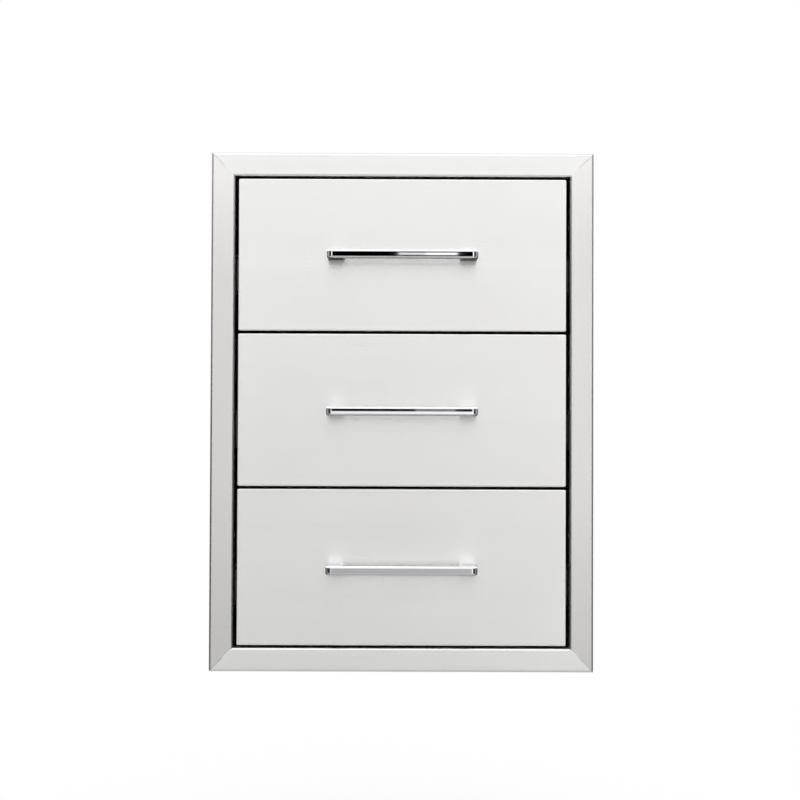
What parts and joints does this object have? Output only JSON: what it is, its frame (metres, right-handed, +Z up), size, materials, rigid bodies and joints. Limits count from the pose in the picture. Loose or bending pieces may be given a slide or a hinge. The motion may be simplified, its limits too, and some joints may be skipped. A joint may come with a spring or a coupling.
{
  "type": "outdoor kitchen drawer unit",
  "caption": "Built-in stainless drawer unit: stacked full-extension drawers with bridge pulls, in a closed housing behind a mitred face frame.",
  "frame": {"origin": "middle of the bottom rail's rear lip, on the wall face that the frame rests against", "axes": "+Y into the wall, away from the user, +Z up, +X to the right as seen from the front; the drawers open towards -Y"},
  "size_m": [0.432, 0.5285, 0.5849],
  "materials": {
    "brushed_stainless": "brushed",
    "satin_stainless": "satin",
    "polished_chrome": "polished",
    "zinc_plated_steel": "bright zinc plate",
    "cage_steel": "stamped, oiled",
    "screw_steel": "plain"
  },
  "bodies": {
    "housing": {"frame_top_rail": "brushed_stainless", "frame_bottom_rail": "brushed_stainless", "frame_left_stile": "brushed_stainless", "frame_right_stile": "brushed_stainless", "housing_left_side": "satin_stainless", "housing_right_side": "satin_stainless", "housing_top": "satin_stainless", "housing_bottom": "satin_stainless", "housing_back": "satin_stainless", "top_left_cabinet_rail": "zinc_plated_steel", "top_right_cabinet_rail": "zinc_plated_steel", "middle_left_cabinet_rail": "zinc_plated_steel", "middle_right_cabinet_rail": "zinc_plated_steel", "bottom_left_cabinet_rail": "zinc_plated_steel", "bottom_right_cabinet_rail": "zinc_plated_steel"},
    "top_drawer": {"top_drawer_front": "brushed_stainless", "top_drawer_liner": "satin_stainless", "top_drawer_tub": "satin_stainless", "top_drawer_handle": "polished_chrome", "top_handle_screw_left": "screw_steel", "top_handle_screw_right": "screw_steel", "top_left_drawer_rail": "zinc_plated_steel", "top_right_drawer_rail": "zinc_plated_steel"},
    "top_middle_rails": {"top_left_middle_rail": "zinc_plated_steel", "top_right_middle_rail": "zinc_plated_steel"},
    "top_outer_ball_cages": {"top_left_outer_ball_cage": "cage_steel", "top_right_outer_ball_cage": "cage_steel"},
    "top_inner_ball_cages": {"top_left_inner_ball_cage": "cage_steel", "top_right_inner_ball_cage": "cage_steel"},
    "middle_drawer": {"middle_drawer_front": "brushed_stainless", "middle_drawer_liner": "satin_stainless", "middle_drawer_tub": "satin_stainless", "middle_drawer_handle": "polished_chrome", "middle_handle_screw_left": "screw_steel", "middle_handle_screw_right": "screw_steel", "middle_left_drawer_rail": "zinc_plated_steel", "middle_right_drawer_rail": "zinc_plated_steel"},
    "middle_middle_rails": {"middle_left_middle_rail": "zinc_plated_steel", "middle_right_middle_rail": "zinc_plated_steel"},
    "middle_outer_ball_cages": {"middle_left_outer_ball_cage": "cage_steel", "middle_right_outer_ball_cage": "cage_steel"},
    "middle_inner_ball_cages": {"middle_left_inner_ball_cage": "cage_steel", "middle_right_inner_ball_cage": "cage_steel"},
    "bottom_drawer": {"bottom_drawer_front": "brushed_stainless", "bottom_drawer_liner": "satin_stainless", "bottom_drawer_tub": "satin_stainless", "bottom_drawer_handle": "polished_chrome", "bottom_handle_screw_left": "screw_steel", "bottom_handle_screw_right": "screw_steel", "bottom_left_drawer_rail": "zinc_plated_steel", "bottom_right_drawer_rail": "zinc_plated_steel"},
    "bottom_middle_rails": {"bottom_left_middle_rail": "zinc_plated_steel", "bottom_right_middle_rail": "zinc_plated_steel"},
    "bottom_outer_ball_cages": {"bottom_left_outer_ball_cage": "cage_steel", "bottom_right_outer_ball_cage": "cage_steel"},
    "bottom_inner_ball_cages": {"bottom_left_inner_ball_cage": "cage_steel", "bottom_right_inner_ball_cage": "cage_steel"}
  },
  "joints": [
    {"name": "top_drawer_slide", "type": "slide", "parent": "housing", "child": "top_drawer", "axis": [0, -1, 0], "range_m": [0, 0.45]},
    {"name": "top_middle_rails_slide", "type": "slide", "parent": "housing", "child": "top_middle_rails", "axis": [0, -1, 0], "range_m": [0, 0.225]},
    {"name": "top_outer_cages_slide", "type": "slide", "parent": "housing", "child": "top_outer_ball_cages", "axis": [0, -1, 0], "range_m": [0, 0.1125]},
    {"name": "top_inner_cages_slide", "type": "slide", "parent": "housing", "child": "top_inner_ball_cages", "axis": [0, -1, 0], "range_m": [0, 0.3375]},
    {"name": "middle_drawer_slide", "type": "slide", "parent": "housing", "child": "middle_drawer", "axis": [0, -1, 0], "range_m": [0, 0.45]},
    {"name": "middle_middle_rails_slide", "type": "slide", "parent": "housing", "child": "middle_middle_rails", "axis": [0, -1, 0], "range_m": [0, 0.225]},
    {"name": "middle_outer_cages_slide", "type": "slide", "parent": "housing", "child": "middle_outer_ball_cages", "axis": [0, -1, 0], "range_m": [0, 0.1125]},
    {"name": "middle_inner_cages_slide", "type": "slide", "parent": "housing", "child": "middle_inner_ball_cages", "axis": [0, -1, 0], "range_m": [0, 0.3375]},
    {"name": "bottom_drawer_slide", "type": "slide", "parent": "housing", "child": "bottom_drawer", "axis": [0, -1, 0], "range_m": [0, 0.45]},
    {"name": "bottom_middle_rails_slide", "type": "slide", "parent": "housing", "child": "bottom_middle_rails", "axis": [0, -1, 0], "range_m": [0, 0.225]},
    {"name": "bottom_outer_cages_slide", "type": "slide", "parent": "housing", "child": "bottom_outer_ball_cages", "axis": [0, -1, 0], "range_m": [0, 0.1125]},
    {"name": "bottom_inner_cages_slide", "type": "slide", "parent": "housing", "child": "bottom_inner_ball_cages", "axis": [0, -1, 0], "range_m": [0, 0.3375]}
  ],
  "couplings": [
    {"joint": "top_middle_rails_slide", "follows": "top_drawer_slide", "ratio": 0.5},
    {"joint": "top_outer_cages_slide", "follows": "top_drawer_slide", "ratio": 0.25},
    {"joint": "top_inner_cages_slide", "follows": "top_drawer_slide", "ratio": 0.75},
    {"joint": "middle_middle_rails_slide", "follows": "middle_drawer_slide", "ratio": 0.5},
    {"joint": "middle_outer_cages_slide", "follows": "middle_drawer_slide", "ratio": 0.25},
    {"joint": "middle_inner_cages_slide", "follows": "middle_drawer_slide", "ratio": 0.75},
    {"joint": "bottom_middle_rails_slide", "follows": "bottom_drawer_slide", "ratio": 0.5},
    {"joint": "bottom_outer_cages_slide", "follows": "bottom_drawer_slide", "ratio": 0.25},
    {"joint": "bottom_inner_cages_slide", "follows": "bottom_drawer_slide", "ratio": 0.75}
  ]
}
